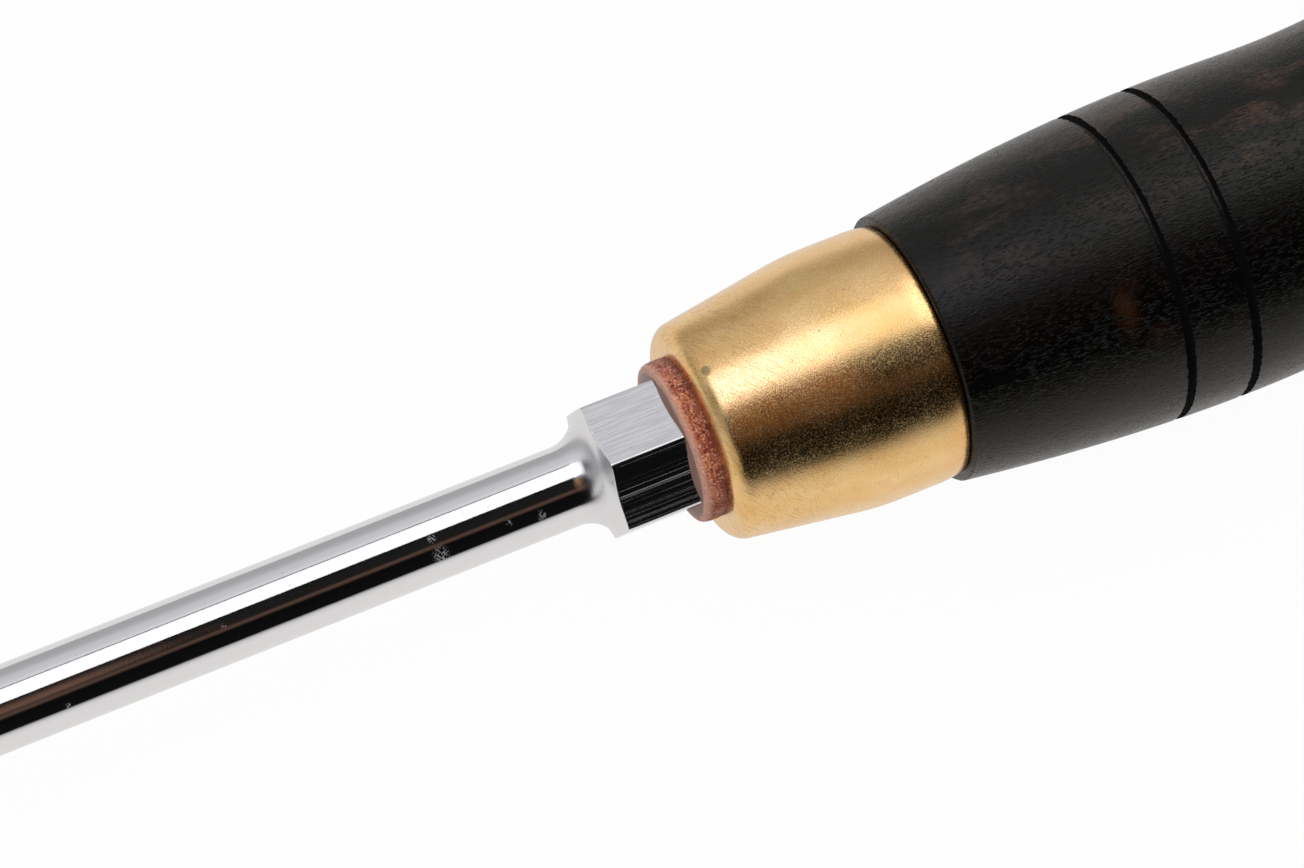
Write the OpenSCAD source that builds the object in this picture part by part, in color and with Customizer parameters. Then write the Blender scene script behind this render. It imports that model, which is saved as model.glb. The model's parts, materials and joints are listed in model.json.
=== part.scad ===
// Cross-head screwdriver with a through tang, lying along X with its tip at the origin.
// A hexagonal bolster takes a wrench, a leather washer and a brass ferrule lead the blade into a
// turned wooden handle, and the tang is riveted over a steel cap at the butt.

/* [Blade] */
// Length of the blade outside the handle, from the tip to the back of the bolster
blade_len = 100; // [60:1:250]
// Diameter of the round shank
shank_d = 6.3; // [5:0.1:8]
// Diameter at the blunt end of the cross tip
tip_d = 2.3; // [1.6:0.1:3]
// Included angle of the tapering tip
tip_angle = 53; // [45:1:60]
// Included angle of the shallow cone on the very end
point_angle = 140; // [120:1:160]
// Radius of the bottom of the four flutes at the very end of the tip
flute_core_r = 0.75; // [0.6:0.05:0.95]
// Included angle of the flutes
flute_angle = 92; // [90:0.5:96]
// Radius of the disc cutter that mills the flutes
cutter_r = 14; // [10:0.5:20]

/* [Bolster] */
// Width across the flats of the hexagon
hex_af = 10; // [9.5:0.1:13]
// Length of the hexagon, measured on its corners
hex_len = 6; // [4:0.5:15]
// Radius of the fillet that leads from the shank into the hexagon
neck_fillet = 2.75; // [2.7:0.05:6]

/* [Tang] */
// Diameter of the round neck behind the bolster
neck_d = 7; // [5:0.1:8]
// Depth to which the neck enters the wood
neck_depth = 6; // [3:0.5:15]
// Width of the square tang inside the handle
tang_w = 5.6; // [4:0.1:6.5]
// Diameter of the round end that passes the leather and the cap
rivet_d = 5; // [3:0.1:5.5]
// Diameter of the spread end of the tang
rivet_head_d = 7.4; // [6.5:0.1:9]

/* [Bolster washer] */
// Diameter of the leather washer at its bulged edge
washer_d = 12.9; // [12.5:0.1:16]
// Thickness of the leather under the bolster
washer_t = 1.85; // [1.4:0.05:4]
// Height to which the squeezed leather rises around the bolster
washer_rise = 0.4; // [0.1:0.05:0.8]
// Height by which the front rim lies behind the back of the bolster
washer_rim = 0.15; // [0.05:0.05:0.4]
// Radius of the rounded front and back edges
washer_edge_r = 0.45; // [0.2:0.05:0.5]

/* [Ferrule] */
// Length of the brass cup
ferrule_len = 18.55; // [15:0.05:30]
// Diameter of the straight back part
ferrule_d = 20.56; // [19:0.02:24]
// Diameter at which the taper would meet the front face
ferrule_front_d = 17.12; // [16:0.02:18.4]
// Half angle of the taper
ferrule_taper = 8.4; // [6:0.1:12]
// Radius of the rounded nose
ferrule_nose_r = 1.5; // [1.2:0.1:1.8]
// Radius of the soft bend from the taper into the straight part
ferrule_bend_r = 24; // [10:1:30]
// Wall thickness of the brass
ferrule_wall = 1; // [0.6:0.1:1.1]

/* [Handle] */
// Length of the wood that shows, from the ferrule to the butt
grip_len = 92; // [80:1:130]
// Diameter of the front rim, which stands proud of the ferrule
grip_front_d = 21.6; // [21.2:0.1:25]
// Chamfer that breaks the sharp edge of the front rim
grip_rim = 0.15; // [0.1:0.05:0.5]
// Rise of the wood behind the front rim, per mm of length
grip_front_slope = 0.14; // [0.05:0.01:0.2]
// Largest diameter of the front swell
swell_d = 25.46; // [24:0.02:30]
// Distance of the front swell from the ferrule
swell_at = 25.5; // [22:0.5:30]
// Diameter of the waist
waist_d = 25.1; // [22:0.1:26]
// Distance of the waist from the ferrule
waist_at = 34.3; // [31:0.1:42]
// Diameter of the palm swell
palm_d = 30.4; // [27:0.1:36]
// Distance of the palm swell from the butt end of the wood
palm_back = 28; // [20:0.5:34]
// Diameter of the butt end of the wood
butt_d = 24.8; // [22:0.1:26]
// Fall of the wood towards the butt edge, per mm of length
butt_slope = 0.35; // [0.2:0.05:0.5]
// Rounding of the butt edge, as a chamfer
butt_chamfer = 0.5; // [0.2:0.1:1]

/* [Turned grooves] */
// Distance of the first groove from the ferrule
groove_at = 17.55; // [12:0.05:19]
// Distance between the two grooves
groove_pitch = 5.5; // [3:0.1:6]
// Width of each groove, which is round at the bottom and half as deep
groove_w = 0.8; // [0.4:0.1:1.2]

/* [Butt] */
// Diameter of the leather disc
butt_washer_d = 24.2; // [22:0.1:26]
// Thickness of the leather disc
butt_washer_t = 3; // [2:0.1:6]
// Radius of the rounded edges of the leather disc
butt_washer_edge_r = 0.7; // [0.2:0.1:0.9]
// Diameter of the striking cap
cap_d = 23.2; // [20:0.1:26]
// Height of the striking cap
cap_t = 4.6; // [3.5:0.1:7]
// Radius of the rounded shoulder around the striking face
cap_shoulder_r = 2.2; // [0.8:0.1:2.6]
// Bevel on the edge of the cap that meets the leather
cap_bevel = 0.5; // [0.2:0.1:0.7]
// Depth of the countersink for the spread tang
countersink = 1.6; // [1:0.1:2.5]

/* [Fits] */
// Gap around the tang where it passes a bored or square hole
tang_clear = 0.1; // [0.05:0.01:0.3]
// Gap between the wooden spigot and the inside of the ferrule
spigot_clear = 0.05; // [0.02:0.01:0.2]

/* [Hidden] */
// Piece to draw

$fn = 128;

// Places along X
x_hex_back = blade_len;
x_hex_front = x_hex_back - hex_len;
x_ferrule = x_hex_back + washer_t;
x_spigot = x_ferrule + ferrule_wall;
x_neck_end = x_spigot + neck_depth;
x_grip = x_ferrule + ferrule_len;
x_butt = x_grip + grip_len;
x_cap = x_butt + butt_washer_t;
x_end = x_cap + cap_t;

// Blade
shank_r = shank_d / 2;
hex_r = hex_af / 2 / cos(30);
point_h = tip_d / 2 / tan(point_angle / 2);
cone_h = (shank_d - tip_d) / 2 / tan(tip_angle / 2);
fillet_drop = shank_r + neck_fillet - hex_r;
fillet_h = sqrt(neck_fillet * neck_fillet - fillet_drop * fillet_drop);
x_fillet = x_hex_front - fillet_h;
flute_depth = shank_r;

// Ferrule: the middle points of its two roundings
taper = tan(ferrule_taper);
nose_at = ferrule_nose_r;
nose_r_at = ferrule_front_d / 2 + taper * nose_at - ferrule_nose_r / cos(ferrule_taper);
taper_end = (ferrule_d - ferrule_front_d) / 2 / taper;
bend_at = taper_end + ferrule_bend_r * tan(ferrule_taper / 2);
bend_r_at = ferrule_d / 2 - ferrule_bend_r;

// Handle
palm_at = grip_len - palm_back;
spline_steps = 12;
arc_steps = 8;

// Point on the smooth curve between two stations [along, radius, slope]
function curve_r(p, q, t) =
    let (span = q[0] - p[0], t2 = t * t, t3 = t2 * t)
    p[1] * (1 - 3 * t2 + 2 * t3) + q[1] * (3 * t2 - 2 * t3)
    + p[2] * span * (t - 2 * t2 + t3) + q[2] * span * (t3 - t2);

// Stations of the turned grip: [distance from the ferrule, radius, slope]
grip_stations = [
    [grip_rim, grip_front_d / 2, grip_front_slope],
    [swell_at, swell_d / 2, 0],
    [waist_at, waist_d / 2, 0],
    [palm_at, palm_d / 2, 0],
    [grip_len, butt_d / 2, -butt_slope]
];

// Outline of the grip, as [radius, distance from the ferrule]
grip_curve = [
    for (i = [0 : len(grip_stations) - 2], k = [0 : spline_steps - 1])
        let (p = grip_stations[i], q = grip_stations[i + 1], t = k / spline_steps)
        [curve_r(p, q, t), p[0] + t * (q[0] - p[0])]
];

// Points on an arc about [r_at, at], with angles measured from the way to the tip
function arc(r_at, at, r, from, to) = [
    for (k = [0 : arc_steps])
        let (a = from + (to - from) * k / arc_steps)
        [r_at + r * sin(a), at - r * cos(a)]
];

// Radius of the wood at a distance from the ferrule, in front of the swell
function grip_r(at) =
    curve_r(grip_stations[0], grip_stations[1], (at - grip_rim) / (swell_at - grip_rim));

// Turns an outline [radius, distance along X] about the X axis
module turned(x) {
    translate([x, 0, 0]) rotate([0, 90, 0]) rotate_extrude() children();
}

// Round bar along X
module bar(x, d, length) {
    translate([x, 0, 0]) rotate([0, 90, 0]) cylinder(d = d, h = length);
}

// Hexagonal bar along X, with two flats facing up and down
module hex_bar(x, length) {
    translate([x, 0, 0]) rotate([0, 90, 0]) rotate([0, 0, 30]) cylinder(r = hex_r, h = length, $fn = 6);
}

// Outline of the tip, shank, neck fillet and the bar that the hexagon is made from
module blade_outline() {
    difference() {
        polygon([
            [0, 0],
            [tip_d / 2, point_h],
            [shank_r, point_h + cone_h],
            [shank_r, x_fillet],
            [hex_r, x_fillet],
            [hex_r, x_hex_back],
            [0, x_hex_back]
        ]);
        translate([shank_r + neck_fillet, x_fillet]) circle(r = neck_fillet);
    }
}

// Path of the disc cutter that mills one flute
module flute() {
    half_w = flute_depth * tan(flute_angle / 2);
    translate([0, 0, flute_core_r + cutter_r]) rotate([90, 0, 0]) rotate_extrude() polygon([
        [0, -half_w],
        [cutter_r - flute_depth, -half_w],
        [cutter_r, 0],
        [cutter_r - flute_depth, half_w],
        [0, half_w]
    ]);
}

// Round neck with four flats milled behind it, larger all round by a clearance
module tang_bar(x, end, clear) {
    difference() {
        bar(x, neck_d + 2 * clear, end - x);
        for (turn = [0 : 90 : 270])
            rotate([turn, 0, 0])
                translate([x_neck_end, -neck_d, tang_w / 2 + clear])
                    cube([end, 2 * neck_d, neck_d]);
    }
}

// Round end of the tang, spread into the countersink at the butt
module rivet(x, clear, past) {
    turned(0) polygon([
        [0, x],
        [rivet_d / 2 + clear, x],
        [rivet_d / 2 + clear, x_end - countersink],
        [rivet_d / 2, x_end - countersink],
        [rivet_head_d / 2, x_end],
        [rivet_head_d / 2, x_end + past],
        [0, x_end + past]
    ]);
}

module blade() {
    color([0.78, 0.79, 0.81]) {
        difference() {
            intersection() {
                turned(0) blade_outline();
                hex_bar(0, x_hex_back);
            }
            for (turn = [45 : 90 : 315]) rotate([turn, 0, 0]) flute();
        }
        tang_bar(x_hex_front, x_butt, 0);
        rivet(x_neck_end, 0, 0);
    }
}

// Outline of the washer, bulged at its edge and drawn up around the bolster
module washer_outline() {
    hole_r = neck_d / 2 + tang_clear;
    edge_r_at = washer_d / 2 - washer_edge_r;
    front = washer_rim + washer_edge_r;
    back = washer_t - washer_edge_r;
    polygon([
        [hole_r, washer_t],
        [hole_r, -washer_rise],
        [hex_af / 2, -washer_rise],
        [edge_r_at, washer_rim],
        [washer_d / 2, front],
        [washer_d / 2, back],
        [edge_r_at, washer_t]
    ]);
    translate([edge_r_at, front]) circle(r = washer_edge_r);
    translate([edge_r_at, back]) circle(r = washer_edge_r);
}

module bolster_washer() {
    color([0.62, 0.31, 0.2]) difference() {
        turned(x_hex_back) washer_outline();
        hex_bar(x_hex_back - hex_len, hex_len);
    }
}

// Solid form of the ferrule, smaller all round by an inset, from its front to a given depth
module ferrule_form(inset, depth) {
    nose_in = ferrule_nose_r - inset;
    bend_in = ferrule_bend_r - inset;
    polygon(concat(
        [[0, inset]],
        arc(nose_r_at, nose_at, nose_in, 0, 90 - ferrule_taper),
        arc(bend_r_at, bend_at, bend_in, 90 - ferrule_taper, 90),
        [[bend_r_at + bend_in, depth], [0, depth]]
    ));
}

module ferrule() {
    color([0.8, 0.62, 0.32]) difference() {
        turned(x_ferrule) ferrule_form(0, ferrule_len);
        turned(x_ferrule) ferrule_form(ferrule_wall, ferrule_len + 1);
        bar(x_ferrule - 1, neck_d + 2 * tang_clear, ferrule_wall + 2);
    }
}

// Outline of the wood that shows, with the two grooves cut in
module grip_outline() {
    difference() {
        polygon(concat(
            [[0, 0], [grip_front_d / 2 - grip_rim, 0]],
            grip_curve,
            [
                [butt_d / 2, grip_len - butt_chamfer],
                [butt_d / 2 - butt_chamfer, grip_len],
                [0, grip_len]
            ]
        ));
        for (at = [groove_at, groove_at + groove_pitch])
            translate([grip_r(at), at]) circle(d = groove_w);
    }
}

module handle() {
    color([0.13, 0.11, 0.1]) difference() {
        union() {
            turned(x_ferrule) ferrule_form(ferrule_wall + spigot_clear, ferrule_len);
            turned(x_grip) grip_outline();
        }
        tang_bar(x_ferrule, x_butt + 1, tang_clear);
    }
}

// Outline of a leather disc with rounded edges
module butt_washer_outline() {
    edge_r_at = butt_washer_d / 2 - butt_washer_edge_r;
    square([edge_r_at, butt_washer_t]);
    translate([0, butt_washer_edge_r])
        square([butt_washer_d / 2, butt_washer_t - 2 * butt_washer_edge_r]);
    for (at = [butt_washer_edge_r, butt_washer_t - butt_washer_edge_r])
        translate([edge_r_at, at]) circle(r = butt_washer_edge_r);
}

module butt_washer() {
    color([0.55, 0.3, 0.19]) difference() {
        turned(x_butt) butt_washer_outline();
        bar(x_butt - 1, rivet_d + 2 * tang_clear, butt_washer_t + 2);
    }
}

// Outline of the cap, rounded at its striking face and bevelled at the leather
module cap_outline() {
    shoulder_r_at = cap_d / 2 - cap_shoulder_r;
    shoulder_at = cap_t - cap_shoulder_r;
    polygon([
        [0, 0],
        [cap_d / 2 - cap_bevel, 0],
        [cap_d / 2, cap_bevel],
        [cap_d / 2, shoulder_at],
        [shoulder_r_at, cap_t],
        [0, cap_t]
    ]);
    translate([shoulder_r_at, shoulder_at]) circle(r = cap_shoulder_r);
}

module striking_cap() {
    color([0.7, 0.71, 0.73]) difference() {
        turned(x_cap) cap_outline();
        rivet(x_cap - 1, tang_clear, 1);
    }
}

blade();
bolster_washer();
ferrule();
handle();
butt_washer();
striking_cap();
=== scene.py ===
"""Cross-head screwdriver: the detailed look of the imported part, in its own frame and in metres."""
import json
import math

import bmesh
import bpy
import numpy as np
from mathutils import Matrix, Vector, noise


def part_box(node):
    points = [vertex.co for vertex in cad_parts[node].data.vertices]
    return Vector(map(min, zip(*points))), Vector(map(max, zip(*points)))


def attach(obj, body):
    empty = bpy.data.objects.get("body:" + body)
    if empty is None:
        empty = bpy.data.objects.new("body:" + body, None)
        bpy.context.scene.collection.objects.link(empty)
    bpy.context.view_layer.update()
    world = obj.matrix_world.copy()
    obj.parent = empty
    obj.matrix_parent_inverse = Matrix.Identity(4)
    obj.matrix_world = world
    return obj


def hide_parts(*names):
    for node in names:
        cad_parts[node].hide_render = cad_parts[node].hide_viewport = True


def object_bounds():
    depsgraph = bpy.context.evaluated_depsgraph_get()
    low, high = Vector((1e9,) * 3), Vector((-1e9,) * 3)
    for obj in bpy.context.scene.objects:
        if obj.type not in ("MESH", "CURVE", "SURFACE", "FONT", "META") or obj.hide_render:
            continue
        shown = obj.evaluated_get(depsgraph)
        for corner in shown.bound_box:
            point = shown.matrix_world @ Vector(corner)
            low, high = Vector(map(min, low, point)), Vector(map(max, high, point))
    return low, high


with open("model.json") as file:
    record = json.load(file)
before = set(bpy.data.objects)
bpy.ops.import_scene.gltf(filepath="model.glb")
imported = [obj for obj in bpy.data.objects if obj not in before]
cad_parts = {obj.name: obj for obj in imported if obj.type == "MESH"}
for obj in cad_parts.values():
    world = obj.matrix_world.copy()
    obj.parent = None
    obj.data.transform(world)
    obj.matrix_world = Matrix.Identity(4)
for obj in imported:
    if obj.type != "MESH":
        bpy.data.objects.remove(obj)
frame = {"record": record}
cad_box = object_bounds()

MM = 0.001
# Points closer than this become one, in metres
WELD = 1e-8
# Shift that picks the part of the noise used for torn and fibrous edges
SEED = Vector((17.3, 5.1, 9.7))
MOUNTS = {mount["name"]: mount for mount in frame["record"]["mounts"]}


def ends(node):
    """Where a node starts and ends along the axis, in mm."""
    low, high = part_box(node)
    return low[0] / MM, high[0] / MM


def outer_radius(node):
    """Largest distance of a round node from the axis, in mm."""
    low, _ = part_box(node)
    return -low[2] / MM


# Blade, in mm; places along the axis come from the frame
SHANK_R = MOUNTS["shank"]["dims"]["r_mm"]
NECK_FILLET = 2.75
HEX_AF = 10.0
HEX_LEN = 6.0
HEX_FRONT = MOUNTS["hex_bolster"]["pos_m"][0] / MM - HEX_LEN / 2
HEX_BACK = HEX_FRONT + HEX_LEN
EDGE_BREAK = 0.06
# Powers that round the hexagon's corners and the crossings of turned and milled faces
CORNER_POWER = 95
CROSSING_POWER = 90
# Least share by which a flat faces a point, which keeps the far flats well outside
LEAST_FACING = 0.05
TIP_R = 1.15
TIP_HALF_ANGLE = math.radians(26.5)
POINT_HALF_ANGLE = math.radians(70)
FLUTE_CORE_R = 0.75
FLUTE_HALF_ANGLE = math.radians(46)
FLUTE_END = 8.4
FLUTE_HALVINGS = 40
CUTTER_R = 14.0
NECK_R = 3.5
NECK_DEPTH = 6.0
TANG_HALF = 2.8
TANG_GAP = 0.1
RIVET_R = 2.5
RIVET_HEAD_R = 3.7
COUNTERSINK = 1.6
END = ends("blade")[1]

# Leather washer; it rises least on the upper side of the bolster and most below
WASHER_R = outer_radius("bolster_washer")
WASHER_RISE = (0.2, 0.5)
WASHER_RIM = 0.15
WASHER_RIM_R = 6.0
WASHER_DIP = 0.06
WASHER_TUCK = 0.08
WASHER_HEX_GAP = 0.02
WASHER_ROUND = 0.6
# Unevenness of cut leather: height in mm and waves for each mm, and how far it lies below the edge
FIBRE_WAVES = ((0.05, 4), (0.045, 11))
FIBRE_SINK = 0.03
# How fast the unevenness grows along the cut edge, and which shares of the edge's half turn have rings
FIBRE_RISE = 5
WASHER_CUT = (0.02, 1.0)

# Ferrule; its rear edge is rolled in over a short length
FERRULE_FRONT, GRIP_FRONT = ends("ferrule")
FERRULE_R = outer_radius("ferrule")
FERRULE_FRONT_R = 8.56
FERRULE_TAPER = math.radians(8.4)
FERRULE_NOSE_R = 1.5
FERRULE_BEND_R = 24.0
FERRULE_WALL = 1.0
FERRULE_LIP = 0.2
FERRULE_ROLL = 0.17
FERRULE_ROLL_LEN = 1.8

# Butt
BUTT, CAP = ends("butt_washer")
BUTT_WASHER_R = outer_radius("butt_washer")
BUTT_WASHER_EDGE = 0.7
BUTT_WASHER_ROUND = 0.55
BUTT_WASHER_CUT = (0.05, 0.95)
CAP_R = outer_radius("striking_cap")
CAP_SHOULDER = 2.2
CAP_BEVEL = 0.5
# Shares of the bevel where a ridge and a groove leave its line, by 0.2 mm of radius
CAP_BEVEL_MARKS = (0.3, 0.7)

# Grip outline: distance behind the ferrule, radius and slope at each station
GRIP_LEN = BUTT - GRIP_FRONT
GRIP_RIM = 0.15
PALM_R = outer_radius("handle")
PALM_BACK = 28.0
GRIP_STATIONS = [
    (GRIP_RIM, 10.8, 0.14),
    (25.5, 12.73, 0.0),
    (34.3, 12.55, 0.0),
    (GRIP_LEN - PALM_BACK, 15.2, 0.0),
    (GRIP_LEN, 12.4, -0.35),
]
# Rounding of the butt's edge, and the angle at which it takes over from the sloping grip
BUTT_CHAMFER = 0.5
CHAMFER_START = 110
# Spigot in the ferrule: how much it narrows to its front, and its straight length at the back
SPIGOT_GAP = 0.05
SPIGOT_TAPER = 7 / 3
SPIGOT_STRAIGHT = 2.0
GROOVES = (17.55, 23.05)
GROOVE_R = 0.35
GROOVE_DEPTH = 0.5
# Room for torn fibres beside each groove
GROOVE_TEAR = 0.26
# Torn fibres along turned edges: width in mm and waves for each radian
CHIP_WAVES = ((0.14, 30), (0.12, 66))
# Step in the noise from one groove to the next, for each mm between them
CHIP_STEP = 10


# Meshes

# Rings along each stretch of a surface; with these, the export writes every piece whole
TIP_STEPS = (6, 34, 34)
SHANK_RINGS = 14
FILLET_RINGS = 44
HEX_RINGS = 17
NOSE_RINGS = 20
BEND_RINGS = 12
ROLL_RINGS = 12
LIP_RINGS = 8
GRIP_RINGS = 20
GROOVE_RINGS = 13
PALM_RINGS = 58
CHAMFER_RINGS = 5
FACE_RINGS = 14
CUT_RINGS = 40
BUTT_CUT_RINGS = 26
SHOULDER_RINGS = 18
# Points round the axis, or along one side of the hexagon
BLADE_SIDE = 72
WASHER_SIDE = 120
FERRULE_POINTS = 360
HANDLE_POINTS = 720
BUTT_WASHER_POINTS = 480
CAP_POINTS = 240


def ring(x, r, phi):
    """Points round the axis at x; phi runs from straight up towards the near side. All in mm."""
    r = np.broadcast_to(r, phi.shape)
    x = np.broadcast_to(x, phi.shape)
    return np.stack([x, -r * np.sin(phi), r * np.cos(phi)], axis=1)


def skin(name, rings, loop=False, sharp_deg=35, second=()):
    """Piece whose surface runs through rings of equal length, closed round the axis.

    The bands that start at the rings listed in second take the piece's second material.
    """
    count = len(rings[0])
    points = np.concatenate(rings) * MM
    last = len(rings) if loop else len(rings) - 1
    step = np.arange(count)
    after = (step + 1) % count
    faces = []
    for i in range(last):
        a = i * count
        b = (i + 1) % len(rings) * count
        faces.append(np.stack([a + step, a + after, b + after, b + step], axis=1))
    mesh = bpy.data.meshes.new(name)
    mesh.from_pydata(points.tolist(), [], np.concatenate(faces).tolist())
    marks = np.zeros((last, count), dtype=np.int32)
    marks[list(second)] = 1
    mesh.polygons.foreach_set("material_index", marks.ravel())
    bm = bmesh.new()
    bm.from_mesh(mesh)
    bmesh.ops.remove_doubles(bm, verts=bm.verts, dist=WELD)
    bmesh.ops.recalc_face_normals(bm, faces=bm.faces)
    bm.to_mesh(mesh)
    bm.free()
    mesh.shade_smooth()
    mesh.set_sharp_from_angle(angle=math.radians(sharp_deg))
    obj = bpy.data.objects.new(name, mesh)
    bpy.context.scene.collection.objects.link(obj)
    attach(obj, "root")
    return obj


def soft_min(radii, power):
    """Smallest of several radii, with a small rounding where they cross."""
    total = sum(np.power(r, -power) for r in radii)
    return np.power(total, -1.0 / power)


def hex_radius(phi, half_width):
    """Radius of the hexagon with flats facing up and down."""
    planes = []
    for k in range(6):
        facing = np.maximum(np.cos(phi - k * math.pi / 3), LEAST_FACING)
        planes.append(half_width / facing)
    return soft_min(planes, CORNER_POWER)


def square_radius(phi, half_width):
    """Radius of the square with flats facing up and down."""
    facing = np.maximum(np.abs(np.cos(phi)), np.abs(np.sin(phi)))
    return half_width / facing


def flute_radius(x, phi):
    """Radius left by the four flutes of the disc cutter at x."""
    off = (phi % (math.pi / 2)) - math.pi / 4
    low = np.zeros_like(phi)
    high = np.full_like(phi, 2 * HEX_AF)
    axis_at = FLUTE_CORE_R + CUTTER_R
    for _ in range(FLUTE_HALVINGS):
        mid = (low + high) / 2
        reach = CUTTER_R - np.sqrt(x * x + (axis_at - mid * np.cos(off)) ** 2)
        cut = reach * math.tan(FLUTE_HALF_ANGLE) > mid * np.abs(np.sin(off))
        high = np.where(cut, mid, high)
        low = np.where(cut, low, mid)
    return high


def side_angles(per_side, pinch):
    """Angles round the hexagon, closer together at its corners."""
    t = np.arange(per_side) / per_side
    s = t - pinch * np.sin(2 * math.pi * t) / (2 * math.pi)
    sides = [(k + s) * math.pi / 3 for k in range(6)]
    return np.concatenate(sides) + math.pi / 6


def even_angles(count):
    """Angles spread evenly round the axis."""
    return np.arange(count) * 2 * math.pi / count


def fillet_rows():
    """Stations along the fillet from the shank into the hexagon, as (x, radius)."""
    drop = SHANK_R + NECK_FILLET - HEX_AF / 2 / math.cos(math.pi / 6)
    end = math.acos(drop / NECK_FILLET)
    start = HEX_FRONT - NECK_FILLET * math.sin(end)
    for a in np.linspace(0, end, FILLET_RINGS):
        yield start + NECK_FILLET * math.sin(a), SHANK_R + NECK_FILLET * (1 - math.cos(a))


def tang_rows(phi):
    """Stations of the hidden tang and its spread end, as (x, radius)."""
    neck = np.full_like(phi, NECK_R)
    square = np.minimum(neck, square_radius(phi, TANG_HALF))
    neck_end = FERRULE_FRONT + FERRULE_WALL + NECK_DEPTH
    yield from [(HEX_BACK, neck), (neck_end, neck)]
    yield from [(neck_end, square), (BUTT, square)]
    yield from [(BUTT, RIVET_R), (END - COUNTERSINK, RIVET_R)]
    yield from [(END - EDGE_BREAK, RIVET_HEAD_R), (END, RIVET_HEAD_R - EDGE_BREAK)]
    yield from [(END, RIVET_HEAD_R / 2), (END, 0)]


def build_blade():
    """Fluted tip, shank, fillet, hexagon and tang, in one skin."""
    phi = side_angles(BLADE_SIDE, pinch=0.8)
    flat = hex_radius(phi, HEX_AF / 2)
    point = TIP_R / math.tan(POINT_HALF_ANGLE)
    cone = (SHANK_R - TIP_R) / math.tan(TIP_HALF_ANGLE)
    rings = [ring(0, 0, phi)]
    stops = [(0, 0), (point, TIP_R), (point + cone, SHANK_R), (FLUTE_END, SHANK_R)]
    for (x0, r0), (x1, r1), steps in zip(stops, stops[1:], TIP_STEPS):
        for t in np.arange(1, steps + 1) / steps:
            x = x0 + (x1 - x0) * t
            turned = np.full_like(phi, r0 + (r1 - r0) * t)
            rings.append(ring(x, soft_min([turned, flute_radius(x, phi)], CROSSING_POWER), phi))
    fillet = list(fillet_rows())
    for x in np.linspace(FLUTE_END, fillet[0][0], SHANK_RINGS)[1:-1]:
        rings.append(ring(x, SHANK_R, phi))
    for x, r in fillet:
        turned = np.full_like(phi, r)
        rings.append(ring(x, soft_min([turned, flat], CROSSING_POWER), phi))
    for x in np.linspace(HEX_FRONT, HEX_BACK - EDGE_BREAK, HEX_RINGS)[1:]:
        rings.append(ring(x, flat, phi))
    rings.append(ring(HEX_BACK, flat - EDGE_BREAK, phi))
    rings += [ring(x, r, phi) for x, r in tang_rows(phi)]
    piece = skin("blade_finish", rings, sharp_deg=28)
    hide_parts("blade")
    return piece


def arc(at, r_at, radius, start, stop, count):
    """Points (x, r) on an arc; angles in degrees from the way to the tip."""
    for a in np.radians(np.linspace(start, stop, count)):
        yield at - radius * math.cos(a), r_at + radius * math.sin(a)


def build_ferrule():
    """Drawn cup: nose, taper, bend and rolled rear edge, and the same form inside its wall."""
    taper = math.tan(FERRULE_TAPER)
    nose_at = FERRULE_FRONT + FERRULE_NOSE_R
    nose_r = FERRULE_FRONT_R + taper * FERRULE_NOSE_R - FERRULE_NOSE_R / math.cos(FERRULE_TAPER)
    bend = (FERRULE_R - FERRULE_FRONT_R) / taper + FERRULE_BEND_R * math.tan(FERRULE_TAPER / 2)
    bend_at = FERRULE_FRONT + bend
    bend_r = FERRULE_R - FERRULE_BEND_R
    turn = 90 - math.degrees(FERRULE_TAPER)

    def form(inset):
        yield from arc(nose_at, nose_r, FERRULE_NOSE_R - inset, 0, turn, NOSE_RINGS)
        yield from arc(bend_at, bend_r, FERRULE_BEND_R - inset, turn, 90, BEND_RINGS)

    hole = NECK_R + TANG_GAP
    lip_at = GRIP_FRONT - FERRULE_LIP
    roll_at = lip_at - FERRULE_ROLL_LEN
    profile = [(FERRULE_FRONT, hole), (FERRULE_FRONT, (hole + nose_r) / 2), *form(0)]
    for t in np.linspace(0, 1, ROLL_RINGS):
        profile.append((roll_at + FERRULE_ROLL_LEN * t, FERRULE_R - FERRULE_ROLL * t * t))
    lip_r = FERRULE_R - FERRULE_ROLL - FERRULE_LIP
    profile += list(arc(lip_at, lip_r, FERRULE_LIP, 90, 180, LIP_RINGS))[1:]
    profile.append((GRIP_FRONT, FERRULE_R - FERRULE_WALL))
    profile += reversed(list(form(FERRULE_WALL)))
    profile.append((FERRULE_FRONT + FERRULE_WALL, hole))
    phi = even_angles(FERRULE_POINTS)
    piece = skin("ferrule_finish", [ring(x, r, phi) for x, r in profile], loop=True)
    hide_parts("ferrule")
    return piece


def grip_radius(at):
    """Radius of the turned grip at a distance behind the ferrule."""
    for p, q in zip(GRIP_STATIONS, GRIP_STATIONS[1:]):
        if at <= q[0]:
            break
    span = q[0] - p[0]
    t = (at - p[0]) / span
    r = p[1] * (1 - 3 * t * t + 2 * t ** 3) + q[1] * (3 * t * t - 2 * t ** 3)
    r += p[2] * span * (t - 2 * t * t + t ** 3) + q[2] * span * (t ** 3 - t * t)
    return min(r, PALM_R)


def chipped(phi, side):
    """Width in mm that torn fibres add to one side of a turned edge, round the grip."""
    width = np.zeros_like(phi)
    for most, waves in CHIP_WAVES:
        places = [Vector((waves * math.cos(a), waves * math.sin(a), side)) for a in phi]
        width += most * np.maximum([noise.noise(place + SEED) for place in places], 0)
    return width


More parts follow.
